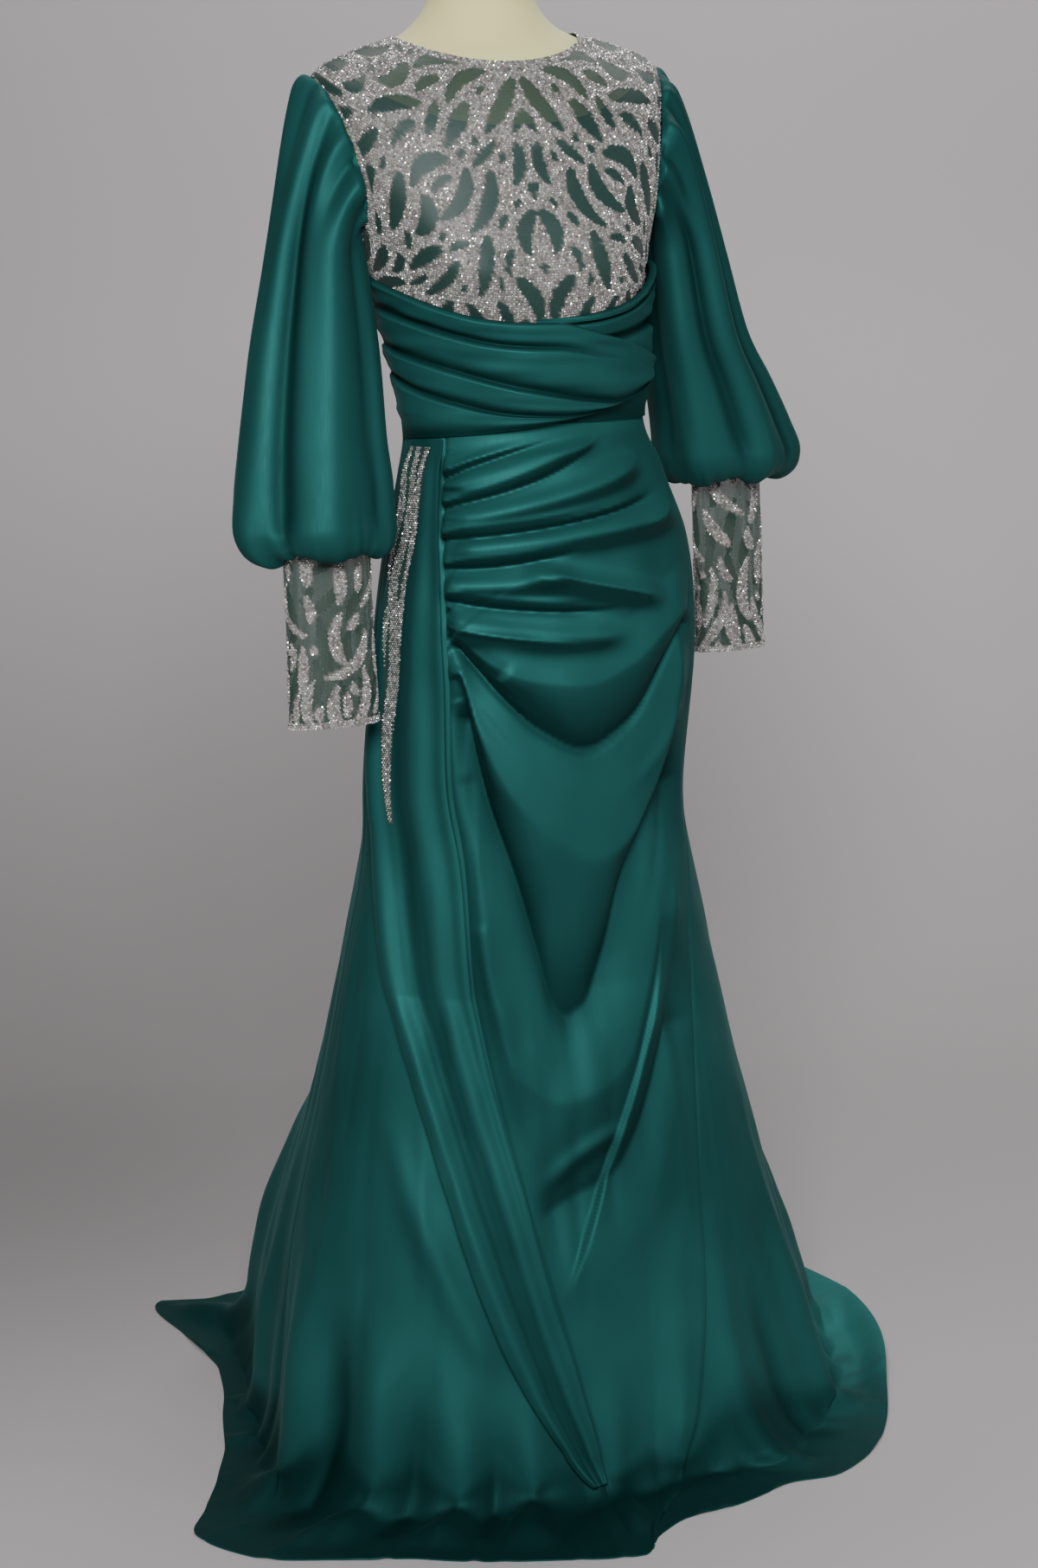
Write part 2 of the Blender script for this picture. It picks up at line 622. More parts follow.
def pleatedBand(band, out, flip):
    top, bottom = curve(band["edges"], 1), curve(band["edges"], 2)
    steps = np.array([0, 0.012, 0.03, 0.055, 0.09, 0.14, 0.2, 0.27, 0.34, 0.42, 0.5, 0.58, 0.66, 0.74, 0.82, 0.9, 0.96])
    fold, step = np.repeat(np.arange(band["folds"]), len(steps)), np.tile(steps, band["folds"])
    fold, step = np.append(fold, band["folds"] - 1)[:, None], np.append(step, 1)[:, None]
    along = np.linspace(0, 1, band["cols"] + 1)[None, :]
    angle = mix(band["start"], band["end"], along) + 0 * step
    s = 1 - along if flip else along
    lines = np.array([curve(band["pleats"], k + 1)(s[0]) for k in range(band["folds"])] + [np.ones(along.shape[1])])
    first, after = lines[fold[:, 0]], lines[fold[:, 0] + 1]
    row = mix(top(angle), bottom(angle), mix(first, after, step))
    # a sharp lip at the folded upper edge, a flat face, and a dark hollow above the next lip
    high = np.maximum(ease(-0.02, 0.05, step) * (1.08 - 0.22 * step - 0.8 * ease(0.58, 1, step)), 0.02)
    # the first two pleats run together in the flat flap, and a pleat that is pinched thins out
    flap = ease(*band["flat"], s) * np.where(fold == 0, ease(0.2, 0.6, step),
                                             np.where(fold == 1, ease(0.6, 0.2, step), 0))
    high = mix(high, 0.72, flap) * ease(-0.02, 0.1, after - first)
    fade = (ease(0, 22, angle) if flip else ease(0, 0.1, 1.02 - along)) * mix(0.35, 1, ease(0, 0.11, s))
    lift = out(angle) + band["thickness"] + band["height"] * high * fade
    grid = raised(body, angle, row, lift)
    # small creases that run along the pleats
    crease = softWaves(grid * [0.35, 0.35, 2.2], 34, 1, seed=8 + band["folds"])
    grid = raised(body, angle, row, lift + 0.55 * crease * ease(0, 0.3, step) * ease(1, 0.8, step))
    return grid, mix(0.25, 1, ease(0.1, 0.85, high))


def makeWaist():
    over, overNap = pleatedBand(waistOver, lambda a: mix(underOut, overOut, ease(-42, -6, a)), False)
    under, underNap = pleatedBand(waistUnder, lambda a: underOut + 0 * a, True)
    over = cloth("over_band", over, satin, "satin", ["waist_over"], rim=1.4, dim=overNap)
    under = cloth("under_band", under, satin, "satin", ["waist_under"], rim=1.2, dim=underNap)


makeWaist()
print("gown: waist pleated")


# the skirt; its level runs from the waist to 0 at the floor, and on to -100 at the hem

skirtOvals = [  # height, half width, front and back depth, x, y
    (1140, 132.5, 105, 89, 17, -31), (1100, 145, 111, 101, 20, -32), (1025, 166, 122, 123, 24, -32),
    (914, 178, 128, 148, 19, -30), (745, 178, 134, 180, 4, -22), (559, 208, 152, 236, 3, -10)]
skirtFlare = [  # height, share flared on the left, and on the right
    (559, 0, 0), (413, 0.31, 0.24), (249, 0.67, 0.55), (142, 0.87, 0.77), (70, 0.96, 0.93), (30, 1, 1)]
breakOutline = [  # angle, radius where the cloth meets the floor
    (-170, 545), (-145, 440), (-120, 342), (-104, 316), (-78, 318), (-55, 286), (-35, 246), (-15, 224), (5, 222),
    (25, 234), (45, 272), (68, 318), (90, 352), (115, 408), (145, 495), (172, 560)]
hemOutline = [  # angle, radius of the hem
    (-172, 715), (-163, 640), (-155, 548), (-149, 566), (-144, 614), (-138, 520), (-129, 424), (-116, 384),
    (-100, 372), (-88, 392), (-79, 428), (-73, 462), (-63, 446), (-52, 400), (-39, 362), (-18, 352), (-2, 363),
    (3, 330), (11, 312), (20, 322), (34, 336), (42, 376), (55, 396), (72, 404), (92, 442), (106, 477), (122, 520),
    (140, 606), (160, 700), (174, 728)]
turnOutline = [  # angle, height where the cloth turns out onto the floor: low in a tongue, high in a hollow
    (-165, 112), (-143, 84), (-124, 108), (-108, 60), (-92, 104), (-79, 26), (-67, 118), (-57, 52), (-49, 86),
    (-40, 34), (-31, 72), (-22, 34), (-12, 64), (2, 38), (12, 58), (22, 34), (40, 118), (54, 84), (68, 42), (86, 96),
    (104, 60), (124, 112), (144, 84), (172, 106)]
skirt = dict(knee=559, wall=1.8, waistRow=10.7, hollow=0.5, facing=(0.84, 0.97, 1.5))
seams = dict(  # level, angle
    side=[(1180, -92), (0, -97), (-100, -97)],
    cascade=[(1180, -77), (1064, -76), (936, -79), (848, -81), (716, -75), (592, -63), (516, -54), (412, -45),
             (320, -38.5), (252, -33.5), (188, -28.5), (136, -23.5), (60, -13), (20, -5.5)],
    front=[(1180, -55), (1048, -51), (940, -46), (788, -41), (700, -36), (564, -30.5), (476, -26.5), (344, -19),
           (228, -12.5), (128, -6.5), (28, -2.5), (-100, -2.5)],
    right=[(1180, 92), (900, 88), (790, 80), (712, 68), (588, 50), (404, 40), (256, 35), (108, 29), (28, 23),
           (8, 20), (-100, 1)],
    rearRight=[(1180, 118), (-100, 124)],
    rear=[(1180, 180), (-100, 180)])
seamAt = {name: curve(rows) for name, rows in seams.items()}
oval = [curve(skirtOvals, k) for k in range(1, 6)]
laidNap = curve([(-175, 0.6), (-150, 0.36), (-110, 0.32), (-60, 0.3), (20, 0.3), (50, 0.42), (70, 0.7), (88, 1.7),
                 (110, 2.1),
                 (140, 1.3), (165, 0.8)], 1, 360)  # angle, light given back by the cloth on the floor
flareLeft, flareRight = curve(skirtFlare, 1), curve(skirtFlare, 2)
breakRadius, hemRadius, turnAt = (curve(rows, 1, 360) for rows in (breakOutline, hemOutline, turnOutline))


def ovalPoint(s, c, height):
    half, front, back, x, y = (read(height) for read in oval)
    return x + half * s, y - np.where(c > 0, front, back) * c


def skirtBase(angle, level):
    angle, level = np.broadcast_arrays(np.asarray(angle, float), np.asarray(level, float))
    turn = wrapAngle(angle)
    s, c = np.sin(np.radians(turn)), np.cos(np.radians(turn))
    x, y = ovalPoint(s, c, np.maximum(level, skirt["knee"]))
    upper = points3(x, y, level)
    near = level > 1105
    if near.any():
        share = ease(1105, 1148, level[near])[..., None]
        onBody = bodyAtHeight(turn[near], level[near])
        onBody = points3(onBody[..., 0] + 1.4 * s[near], onBody[..., 1] - 1.4 * c[near], level[near])
        upper[near] = mix(upper[near], onBody, share)
    height = np.maximum(level, 30)
    lean = ease(-0.7, 0.7, np.sin(np.radians(turn + 18)))
    share = mix(flareLeft(height), flareRight(height), lean)
    radius = breakRadius(turn)
    x, y = mix(x, radius * s, share), mix(y, -radius * c, share)
    turnHeight = turnAt(turn)
    down = np.clip((turnHeight - level) / turnHeight, 0, 1) * np.pi / 2
    outTo = mix(mix(0.1, 0.5, turnHeight / 118) * (1 - np.cos(down)), 1, np.clip(-level / 100, 0, 1))
    slid = outTo * (hemRadius(turn) - radius)
    z = np.where(level >= turnHeight, level, turnHeight * (1 - np.sin(down)))
    return np.where((level >= skirt["knee"])[..., None], upper, points3(x + slid * s, y - slid * c, z))


# folds run along a curve through three points, as angle and level; width across it and height out
mainFolds = [
    ((-54, 1094), (-12, 1120), (24, 1150), 11, 7), ((-53, 1062), (-4, 1082), (46, 1116), 12, 9),  # gathers
    ((-51, 1032), (2, 1042), (66, 1056), 13, 9.5), ((-50, 1001), (-26, 997), (2, 1004), 11, 7.5),
    ((-20, 1014), (8, 988), (42, 968), 12, 8), ((-47, 966), (-16, 942), (24, 938), 13, 9),
    ((-52, 1047), (0, 1058), (50, 1078), 7, -3), ((-49, 1015), (-28, 1016), (-4, 1026), 7, -3),
    ((-47, 984), (-22, 974), (12, 962), 7, -3.5), ((-43, 944), (-32, 918), (-23, 900), 11, -5),
    ((-16, 330), (-4, 374), (14, 402), 10, 4), ((-62, 470), (-45, 290), (-29, 140), 16, 7),  # low on the drape
    ((-80, 330), (-78, 110), (-79, -70), 30, 17), ((-68, 230), (-67, 100), (-67, -60), 21, -14),  # hem
    ((-59, 260), (-57, 80), (-58, -80), 26, 15), ((-50, 190), (-49, 60), (-49, -60), 18, -11),
    ((-41, 200), (-39, 50), (-40, -85), 25, 14), ((-31, 150), (-31, 40), (-31, -60), 18, -10),
    ((-23, 150), (-22, 30), (-21, -85), 24, 13), ((4, 170), (2, 40), (0, -80), 22, 9),
    ((40, 300), (39, 120), (44, -60), 17, 12), ((50, 240), (53, 90), (57, -70), 17, -9),
    ((64, 360), (67, 120), (70, -75), 24, 17), ((84, 260), (86, 100), (88, -60), 22, -9),
    ((100, 420), (103, 150), (106, -85), 28, 19), ((122, 330), (123, 110), (124, -60), 28, -11),  # train
    ((140, 480), (142, 180), (144, -85), 34, 21), ((178, 520), (177, 200), (175, -85), 40, 21),
    ((-160, 400), (-161, 150), (-160, -60), 34, -12), ((-141, 460), (-143, 160), (-146, -85), 30, 19),
    ((-110, 400), (-112, 140), (-114, -80), 26, 17), ((-95, 260), (-95, 100), (-94, -60), 18, -8)]
# fine creases of the gathered hip and the swags
fineFolds = [
    ((-54, 1104), (-6, 1142), (30, 1160), 3.6, -2.6, 0.01, 0.4),
    ((-54, 1110), (-14, 1146), (10, 1160), 4, 1.8, 0.02, 0.5),
    ((-53, 1076), (-10, 1104), (22, 1144), 3.4, -2.8, 0.01, 0.4),
    ((-53, 1083), (-12, 1112), (8, 1132), 4, 1.8, 0.02, 0.5),
    ((-53, 1044), (-11, 1052), (44, 1072), 3.4, -2.8, 0.01, 0.4),
    ((-52, 1052), (-14, 1062), (20, 1076), 4, 1.9, 0.02, 0.5),
    ((-50, 1016), (-17, 1020), (6, 1034), 3.4, -2.6, 0.01, 0.5),
    ((-50, 1023), (-20, 1028), (0, 1036), 4, 1.7, 0.02, 0.5),
    ((-48, 984), (-12, 968), (16, 962), 3.6, -2.8, 0.01, 0.5), ((-48, 991), (-18, 980), (4, 976), 4, 1.6, 0.02, 0.5),
    ((-46, 958), (-18, 946), (10, 930), 4, -2.2, 0.01, 0.6), ((-17, 1010), (4, 992), (32, 968), 4, 1.6, 0.2, 0.4),
    ((-45, 944), (-32, 912), (-20, 880), 4.5, -2.6, 0.01, 0.5), ((-43, 930), (-26, 888), (-8, 850), 5, 1.8, 0.02, 0.6),
    ((-42, 905), (-28, 850), (-12, 800), 6, -1.8, 0.02, 0.6), ((-41, 880), (-30, 812), (-16, 750), 7, 1.6, 0.02, 0.6),
    ((66, 972), (40, 900), (22, 850), 6, -1.8, 0.1, 0.5), ((62, 900), (40, 812), (20, 760), 8, 1.6, 0.1, 0.5),
    ((-36, 800), (-24, 690), (-12, 600), 8, -1.6, 0.05, 0.5), ((52, 800), (38, 690), (20, 590), 8, -1.6, 0.1, 0.5),
    ((-30, 640), (-22, 540), (-12, 470), 7, 1.5, 0.05, 0.5), ((44, 660), (30, 540), (14, 450), 8, 1.5, 0.1, 0.5)]
# the gathers' lips: above the curve the cloth stands out, and drops at it; width of the fall-off and height
lapFolds = [
    ((-55, 1108), (-8, 1140), (40, 1162), 20, 6.4, 0.06, 0.3),
    ((-54, 1078), (-12, 1103), (26, 1146), 20, 7.2, 0.04, 0.3),
    ((-53, 1046), (-6, 1056), (44, 1078), 23, 8.6, 0.04, 0.3),
    ((-51, 1017), (-20, 1020), (4, 1032), 18, 6.4, 0.04, 0.5),
    ((-49, 985), (-14, 970), (20, 966), 22, 7.8, 0.04, 0.45), ((-47, 955), (-24, 942), (4, 928), 19, 5.4, 0.04, 0.6),
    ((-45, 942), (-31, 906), (-14, 868), 24, 8, 0.04, 0.5), ((-15, 1012), (6, 992), (34, 970), 15, 4.6, 0.25, 0.35),
    ((28, 1040), (46, 1052), (62, 1082), 15, 5, 0.3, 0.4), ((34, 620), (14, 424), (-11, 214), 40, 9, 0.3, 0.15)]
# the swags of the front: ridges and troughs from the top down; height out, power of the way there, angle and level
swags = [
    (7, 1.2, [(-42.5, 950), (-27.5, 914), (-11.5, 894), (5, 888), (21, 904), (34.5, 930), (50, 950)]),
    (-10, 1.6, [(-43.5, 940), (-28, 890), (-10, 840), (7, 816), (22.5, 836), (37, 882), (49.5, 932)]),
    (-3, 1, [(-43.5, 932), (-28, 882), (-10, 832), (7, 808), (22.5, 828), (37, 874), (49.5, 924)]),
    (9, 0.6, [(-39, 904), (-32.5, 850), (-24, 800), (-15, 758), (-4, 722), (9, 698), (21, 712), (33, 754), (42, 810),
              (49, 872)]),
    (-12, 1.3, [(-36, 858), (-26, 756), (-17, 676), (-10.5, 600), (-6.5, 548), (-2.5, 530), (3, 540), (10.5, 590),
                (18.5, 660), (28, 710), (39.5, 764)]),
    (8, 0.7, [(-31, 640), (-27, 578), (-23.5, 524), (-18, 468), (-5, 438), (8, 452), (15.5, 476), (22.5, 538),
              (32, 618)]),
    (-9, 1.2, [(-26, 280), (-17.5, 308), (-7, 330), (7, 350), (18, 400), (30, 500)]),
    (3, 0.6, [(-26, 180), (-7, 220), (7, 250), (18, 300), (30, 400)])]
swagSpan = dict(above=50, below=90, edge=(7, 16), right=62)
# the seeded rest: puckers along the gathered seam, creases down the fall and ripples by the hem
puckers = dict(seed=2, top=1132, bottom=900, every=11, reach=(7, 24), height=1.5, width=3.4)
fallCreases = dict(seed=7, count=46, top=(330, 820), length=(220, 420), height=1.7, width=(6, 11))
hemRipples = dict(seed=12, count=74, top=(10, 120), height=2.6, width=(7, 13))


def seededFolds():
    made = []
    rng = np.random.default_rng(puckers["seed"])
    for level in np.arange(puckers["top"], puckers["bottom"], -puckers["every"]):
        level = level + rng.uniform(-3, 3)
        start, reach = float(seamAt["front"](level)), rng.uniform(*puckers["reach"])
        rise = rng.uniform(-4, 8)
        made.append(((start, level), (start + reach / 2, level + rise * 0.5), (start + reach, level + rise),
                     puckers["width"] * rng.uniform(0.8, 1.4),
                     puckers["height"] * rng.choice([-1.0, 1.0]) * rng.uniform(0.6, 1.2),
                     0.005, 0.8))
    rng = np.random.default_rng(fallCreases["seed"])
    for n in range(fallCreases["count"]):
        angle = -180 + 360 * (n + rng.uniform(0, 1)) / fallCreases["count"]
        top = rng.uniform(*fallCreases["top"])
        foot = top - rng.uniform(*fallCreases["length"])
        drift = rng.uniform(-4, 4)
        made.append(((angle, top), (angle + drift * 0.6, (top + foot) / 2), (angle + drift, foot),
                     rng.uniform(*fallCreases["width"]), fallCreases["height"] * rng.choice([-1.0,
                                                                      1.0]) * rng.uniform(0.5, 1.1),
                     0.4, 0.4))
    rng = np.random.default_rng(hemRipples["seed"])
    for n in range(hemRipples["count"]):
        angle = -180 + 360 * (n + rng.uniform(0, 1)) / hemRipples["count"]
        top = rng.uniform(*hemRipples["top"])
        drift = rng.uniform(-3, 3)
        made.append(((angle, top), (angle + drift, top / 2 - 45), (angle + 1.6 * drift, -102),
                     rng.uniform(*hemRipples["width"]), hemRipples["height"] * rng.choice([-0.8,
                                                                      1.0]) * rng.uniform(0.5, 1.1),
                     0.5, 0.02))
    return made


def foldLine(fold):
    start, middle, end = (np.array(point, float) for point in fold[:3])
    knee = 2 * middle - (start + end) / 2
    t = np.linspace(0, 1, 17)[:, None]
    line = start * (1 - t) ** 2 + 2 * knee * t * (1 - t) + end * t * t
    head, tail = fold[5:7] if len(fold) > 5 else (0.14 if fold[0][1] > 520 else 0.5, 0.2)
    return line, fold[3], fold[4], head, tail


coarseLines = [foldLine(fold) for fold in mainFolds]
lapLines = [foldLine(fold) for fold in lapFolds]
fineLines = [foldLine(fold) for fold in fineFolds + seededFolds()]


def foldsOut(lines, angle, level, lapped=False):
    turn = wrapAngle(angle).ravel()
    high = np.broadcast_to(level, angle.shape).ravel()
    base = skirtBase(turn, high)
    degree = np.hypot(base[:, 0], base[:, 1]) * np.pi / 180
    out = np.zeros(len(turn))
    for line, width, height, head, tail in lines:
        reach = width * (4.5 if lapped else 2.4)
        centre, half = (line[:, 0].max() + line[:, 0].min()) / 2, np.ptp(line[:, 0]) / 2
        inside = np.abs(wrapAngle(turn - centre)) <= half + reach / degree
        inside &= (high >= line[:, 1].min() - reach) & (high <= line[:, 1].max() + reach)
        pick = np.flatnonzero(inside)
        if not len(pick):
            continue
        t0, h0, d0 = turn[pick], high[pick], degree[pick]
        near, along, above = np.full(len(pick), np.inf), np.zeros(len(pick)), np.zeros(len(pick))
        for i in range(16):
            ax, bx = wrapAngle(line[i, 0] - t0) * d0, wrapAngle(line[i + 1, 0] - t0) * d0
            dx, dy = bx - ax, line[i + 1, 1] - line[i, 1]
            away = h0 - line[i, 1]
            t = np.clip((-ax * dx + away * dy) / np.maximum(dx * dx + dy * dy, 1e-9), 0, 1)
            far = np.hypot(ax + dx * t, away - dy * t)
            closer = far < near
            near, along = np.where(closer, far, near), np.where(closer, (i + t) / 16, along)
            above = np.where(closer, np.sign(away * dx + ax * dy), above)
        shape = ease(-2.8, 2.8, near * above) * np.exp(-near / width) if lapped else bell(near, 0, width)
        out[pick] += height * shape * ease(0, head, along) * ease(0, tail, 1 - along) * (near < reach)
    return (out * ease(1150, 1124, high)).reshape(angle.shape)


swagLevels = [curve(rows) for height, power, rows in swags]


def swagsOut(angle, level):
    turn = wrapAngle(angle)
    above, before, out = swagLevels[0](turn) + swagSpan["above"], 0.0, np.zeros(angle.shape)
    for (height, power, _), read in zip(swags, swagLevels):
        here = np.minimum(read(turn), above - 5)
        share = np.clip((above - level) / (above - here), 0, 1)
        out = np.where(level < above, mix(before, height, share ** power if power > 1 else 1 - (1 - share) ** (1 / power)), out)
        above, before = here, height
    out = out * ease(above - swagSpan["below"], above, level)
    left, right = swagSpan["edge"]
    return out * ease(0, left, turn - seamAt["front"](level)) * ease(0, right,
                                                                     np.minimum(seamAt["right"](level),
                                                                      swagSpan["right"]) - turn)


def skirtPoint(angle, level, lift):
    return raised(skirtBase, angle, level, lift, 0.8, -1.5)


def fineRelief(angle, level):
    base = skirtBase(angle, level)
    calm = ease(1150, 1100, level)
    slow = softWaves(base, 70, 3.2, seed=4) * 0.6 + softWaves(base, 34, 3.0, seed=6) * 0.28
    return foldsOut(fineLines, angle, level) + foldsOut(lapLines, angle, level, True) + slow * calm


def panelLevels(fine, fall, floor):
    upper = np.arange(1147, 860, -fine)
    middle = np.arange(860, 120, -fall)
    low = np.arange(120, -100, -floor)
    return np.concatenate([upper, middle, low, [-100]])


def skirtPanel(left, right, cols, rows, extra=None, seamDip=1.3):
    share = np.linspace(0, 1, cols + 1)
    head = 8
    levels = np.concatenate([np.full(head, 1147.0), rows])
    edgeLevel = np.concatenate([np.linspace(1180, 1147, head, endpoint=False), rows])
    angle = mix(left(edgeLevel)[:, None], right(edgeLevel)[:, None], share)
    top = body(wrapAngle(angle[0]), skirt["waistRow"] + 0 * angle[0])[:, 2] - 0.5
    level = levels[:, None] + 0 * angle
    down = np.linspace(0, 1, head, endpoint=False)[:, None]
    level[:head] = mix(top[None, :], 1147, down)
    coarse = foldsOut(coarseLines, angle, level)
    lift = coarse + fineRelief(angle, level)
    if extra is not None:
        swag = swagsOut(angle, level)
        coarse = coarse + swag
        lift = lift + swag + extra(share[None, :], level)
    # the cloth dips where it is sewn
    base = skirtBase(angle, level)
    width = np.linalg.norm(base[:, 0] - base[:, -1], axis=-1)[:, None] * 1.06
    edge = np.minimum(share, 1 - share)[None, :] * width
    lift = lift - seamDip * bell(edge, 0, 2.6)
    grid = skirtPoint(angle, level, lift + skirt["wall"])
    turn = wrapAngle(angle)
    curl = 20 * bell(turn, 94, 24) * ease(-25, -100, level)  # the train's right edge turns up
    grid[..., 2] = np.maximum(grid[..., 2], skirt["wall"] + 0.2) + curl
    # cloth on the floor and in the hollows gives back less light
    laid = np.clip((turnAt(turn) - level) / turnAt(turn), 0, 1)
    nap = mix(1, laidNap(turn), ease(0.03, 0.4, laid)) * mix(1, skirt["hollow"], ease(0, -14, coarse))
    # what faces down is darker than what faces up
    slope = np.gradient(lift, axis=0) / np.minimum(np.gradient(level, axis=0), -0.5)
    drape, plain, fall = skirt["facing"]
    facing = np.clip((drape if extra else plain) - fall * slope, 0.3, 1.05)
    return grid, nap * mix(1, facing, ease(230, 320, level) * ease(1150, 1140, level))


def frontLift(share, level):
    return 13 * ease(430, 130, level) * ease(0.6, 0.86, share) * mix(1, 0.2, ease(70, 0, level))


def tucked(level):
    width = seamAt["right"](level) - seamAt["front"](level)
    return seamAt["right"](level) - 0.12 * width * ease(330, 106, level) * ease(-100, -30, level)


def makeSkirt():
    fine, plain = panelLevels(2.3, 4.2, 3.4), panelLevels(7, 8, 5)
    side = panelLevels(5, 6, 4)

    def panel(name, node, rims, *cut):
        grid, nap = skirtPanel(*cut)
        return cloth(name, grid, satin, "satin", [node], rims=rims, rim=1.5, dim=nap)
    front = panel("front_drape", "skirt_front", "blr", seamAt["front"], seamAt["right"], 140, fine, frontLift)
    left = panel("side_left", "skirt_side_left", "b", seamAt["side"], seamAt["front"], 128, side)
    right = panel("side_right", "skirt_side_right", "b", tucked, seamAt["rearRight"], 96, side)
    backRight = panel("back_right_skirt", "skirt_back_right", "b", seamAt["rearRight"], seamAt["rear"], 96, plain)
    backLeft = panel("back_left_skirt", "skirt_back_left", "b", seamAt["rear"],
                     lambda level: 360 + seamAt["side"](level), 110, plain)


makeSkirt()
print("gown: skirt made")


# the cascade and the beading on it

cascade = dict(top=1146, foot=26, clear=2, roll=3.2, cols=46,
               folds=[(0.1, 0.18, 0.15, 10), (0.4, 0.46, 0.16, -3), (0.68, 0.74, 0.16, 7), (0.97, 0.97, 0.07, 4)],
               creases=[(0.3, 0.36, 0.04, 1.1), (0.56, 0.6, 0.05, -1.1)])


def cascadeLift(share, level):
    down = ease(1146, 60, level)
    opened = mix(0.2, 1, ease(1080, 740, level)) * mix(1, 0.55, ease(300, 30, level))
    total = 0
    for top, bottom, width, height in cascade["folds"] + cascade["creases"]:
        total = total + height * bell(share, mix(top, bottom, down), width)
    return 4 + 3 * opened + opened * total


def cascadePoint(share, level, more=0):
    share, level = np.broadcast_arrays(np.asarray(share, float), np.asarray(level, float))
    angle = mix(seamAt["cascade"](level), seamAt["front"](level) - 0.7, share)
    base = np.maximum(0, foldsOut(coarseLines, angle, level))
    hang = mix(0.5, cascade["clear"] + cascadeLift(share, level), ease(1150, 1105, level))
    return skirtPoint(angle, level, base + skirt["wall"] * 2 + hang + more)


def makeCascade():
    levels = np.concatenate([np.arange(cascade["top"], cascade["foot"], -3.6), [cascade["foot"]]])[:, None]
    grid = cascadePoint(np.linspace(0, 1, cascade["cols"] + 1), levels)
    nap = mix(0.55, 1, ease(3, 12, cascadeLift(np.linspace(0, 1, cascade["cols"] + 1), levels)))
    normals = gridNormals(grid, False)
    grid = grid + normals * (0.5 * softWaves(grid, 40, 3.5, seed=9) * ease(1146, 1090, levels))[..., None]
    # the free edge rolls under
    outward = unit(grid[:, 0] - grid[:, 1])
    inward = -normals[:, 0]
    size = cascade["roll"] * ease(1146, 1110, levels) * mix(0.5, 1, ease(30, 200, levels))
    curl = []
    for turn in np.radians([150, 115, 85, 58, 30]):
        curl.append(grid[:, 0] + outward * size * math.sin(turn) + inward * size * (1 - math.cos(turn)))
    grid = np.concatenate([np.stack(curl, 1), grid], 1)
    nap = np.concatenate([np.repeat(nap[:, :1], len(curl), 1), nap], 1)
    piece = cloth("cascade_fall", grid, satin, "satin", ["cascade"], rim=1.2, dim=nap)


hip = dict(pitch=2.6, radius=1.2,
           strip=[(1138, -69, 18), (1050, -68, 17), (1000, -70, 15), (950, -69, 13), (900, -68.5, 11), (850, -69, 8.5),
                  (800, -68, 6), (745, -65, 3)],  # level, angle, half width
           # strands: a place across the strip and a width in mm, from the top down
           strands=[[(0, -0.78, 3), (60, -0.6, 5), (110, -0.82, 3.5), (150, -0.7, 0)],
                    [(0, -0.05, 3.5), (70, 0.12, 5), (140, -0.2, 6), (215, 0.25, 6.5), (290, -0.1, 6.5), (340, 0.1, 5),
                     (392, 0, 2)],
                    [(0, 0.72, 3), (50, 0.6, 5), (120, 0.8, 4), (190, 0.66, 5), (250, 0.8, 0)],
                    [(150, -0.2, 0), (180, -0.75, 4), (230, -0.85, 0)],
                    [(215, 0.25, 0), (262, 0.85, 3.5), (300, 0.9, 0)]])


def makeHipBeading():
    across, half = curve(hip["strip"], 1), curve(hip["strip"], 2)
    top, foot = hip["strip"][0][0], hip["strip"][-1][0]

    def surface(share, v, lift=1.1):
        level = top - v
        point = skirtBase(across(level), level)
        degree = np.hypot(point[..., 0], point[..., 1]) * np.pi / 180
        angle = across(level) + (2 * share - 1) * half(level) / degree
        first, last = seamAt["cascade"](level), seamAt["front"](level) - 0.7
        return cascadePoint(np.clip((angle - first) / (last - first), 0.01, 0.99), level, lift)
    share, v = np.meshgrid(np.linspace(0, 1, 13), np.linspace(0, top - foot, 120))
    strip = cloth("hip_strip", surface(share, v), yokeNet, "beaded_net", ["hip_beading"], rim=0.3)
    spot, at = spotsOn(surface, top - foot, hip["pitch"])[:2]
    halves = half(top - at)
    inside = np.zeros(len(at), bool)
    for strand in hip["strands"]:
        rows = np.array(strand, float)
        centre, width = curve(strand, 1)(at) * halves, np.interp(at, rows[:, 0], rows[:, 2])
        inside |= (np.abs((2 * spot - 1) * halves - centre) < width) & (at >= rows[0, 0]) & (at <= rows[-1, 0])
    spot, at = spot[inside], at[inside]
    gems = stones("hip_stones", surface(spot, at, 1.3), normalsOn(surface, spot, at, 0.05), hip["radius"], silver, 21)


makeCascade()
makeHipBeading()
print("gown: cascade and hip beading made")


# the sleeves and cuffs

sleeves = dict(
    left=dict(side=-1, ovals=[  # height, x, y, across, deep
        (1326, -207, -42, 51, 54), (1238, -217, -58, 66, 59), (1150, -227, -74, 76, 63), (1104, -231, -84, 82, 66),
        (1071, -234, -91, 84, 67), (1050, -232, -97, 77, 58), (1042, -229, -102, 64, 41), (1045, -227, -105, 53, 26),
        (1052, -227, -106, 47.2, 19.2)],
        cuff=[(1066, -227, -106, 46, 18), (960, -229, -109, 46, 18), (863, -231, -113, 48, 19)]),
    right=dict(side=1, ovals=[
        (1323, 211, -6, 45, 56), (1230, 229, 2, 56, 60), (1182, 246, 7, 66, 62), (1135, 261, 12, 75, 64),
        (1104, 269, 15, 80, 65), (1084, 271, 17, 74, 57), (1075, 270, 19, 60, 41), (1078, 270, 20, 48, 25),
        (1085, 270, 20, 42.2, 18.2)],
        cuff=[(1099, 270, 20, 41, 17), (980, 271, 22, 41, 17), (877, 272, 25, 42, 18)]))
capSteps, sleeveRows = 6, 14
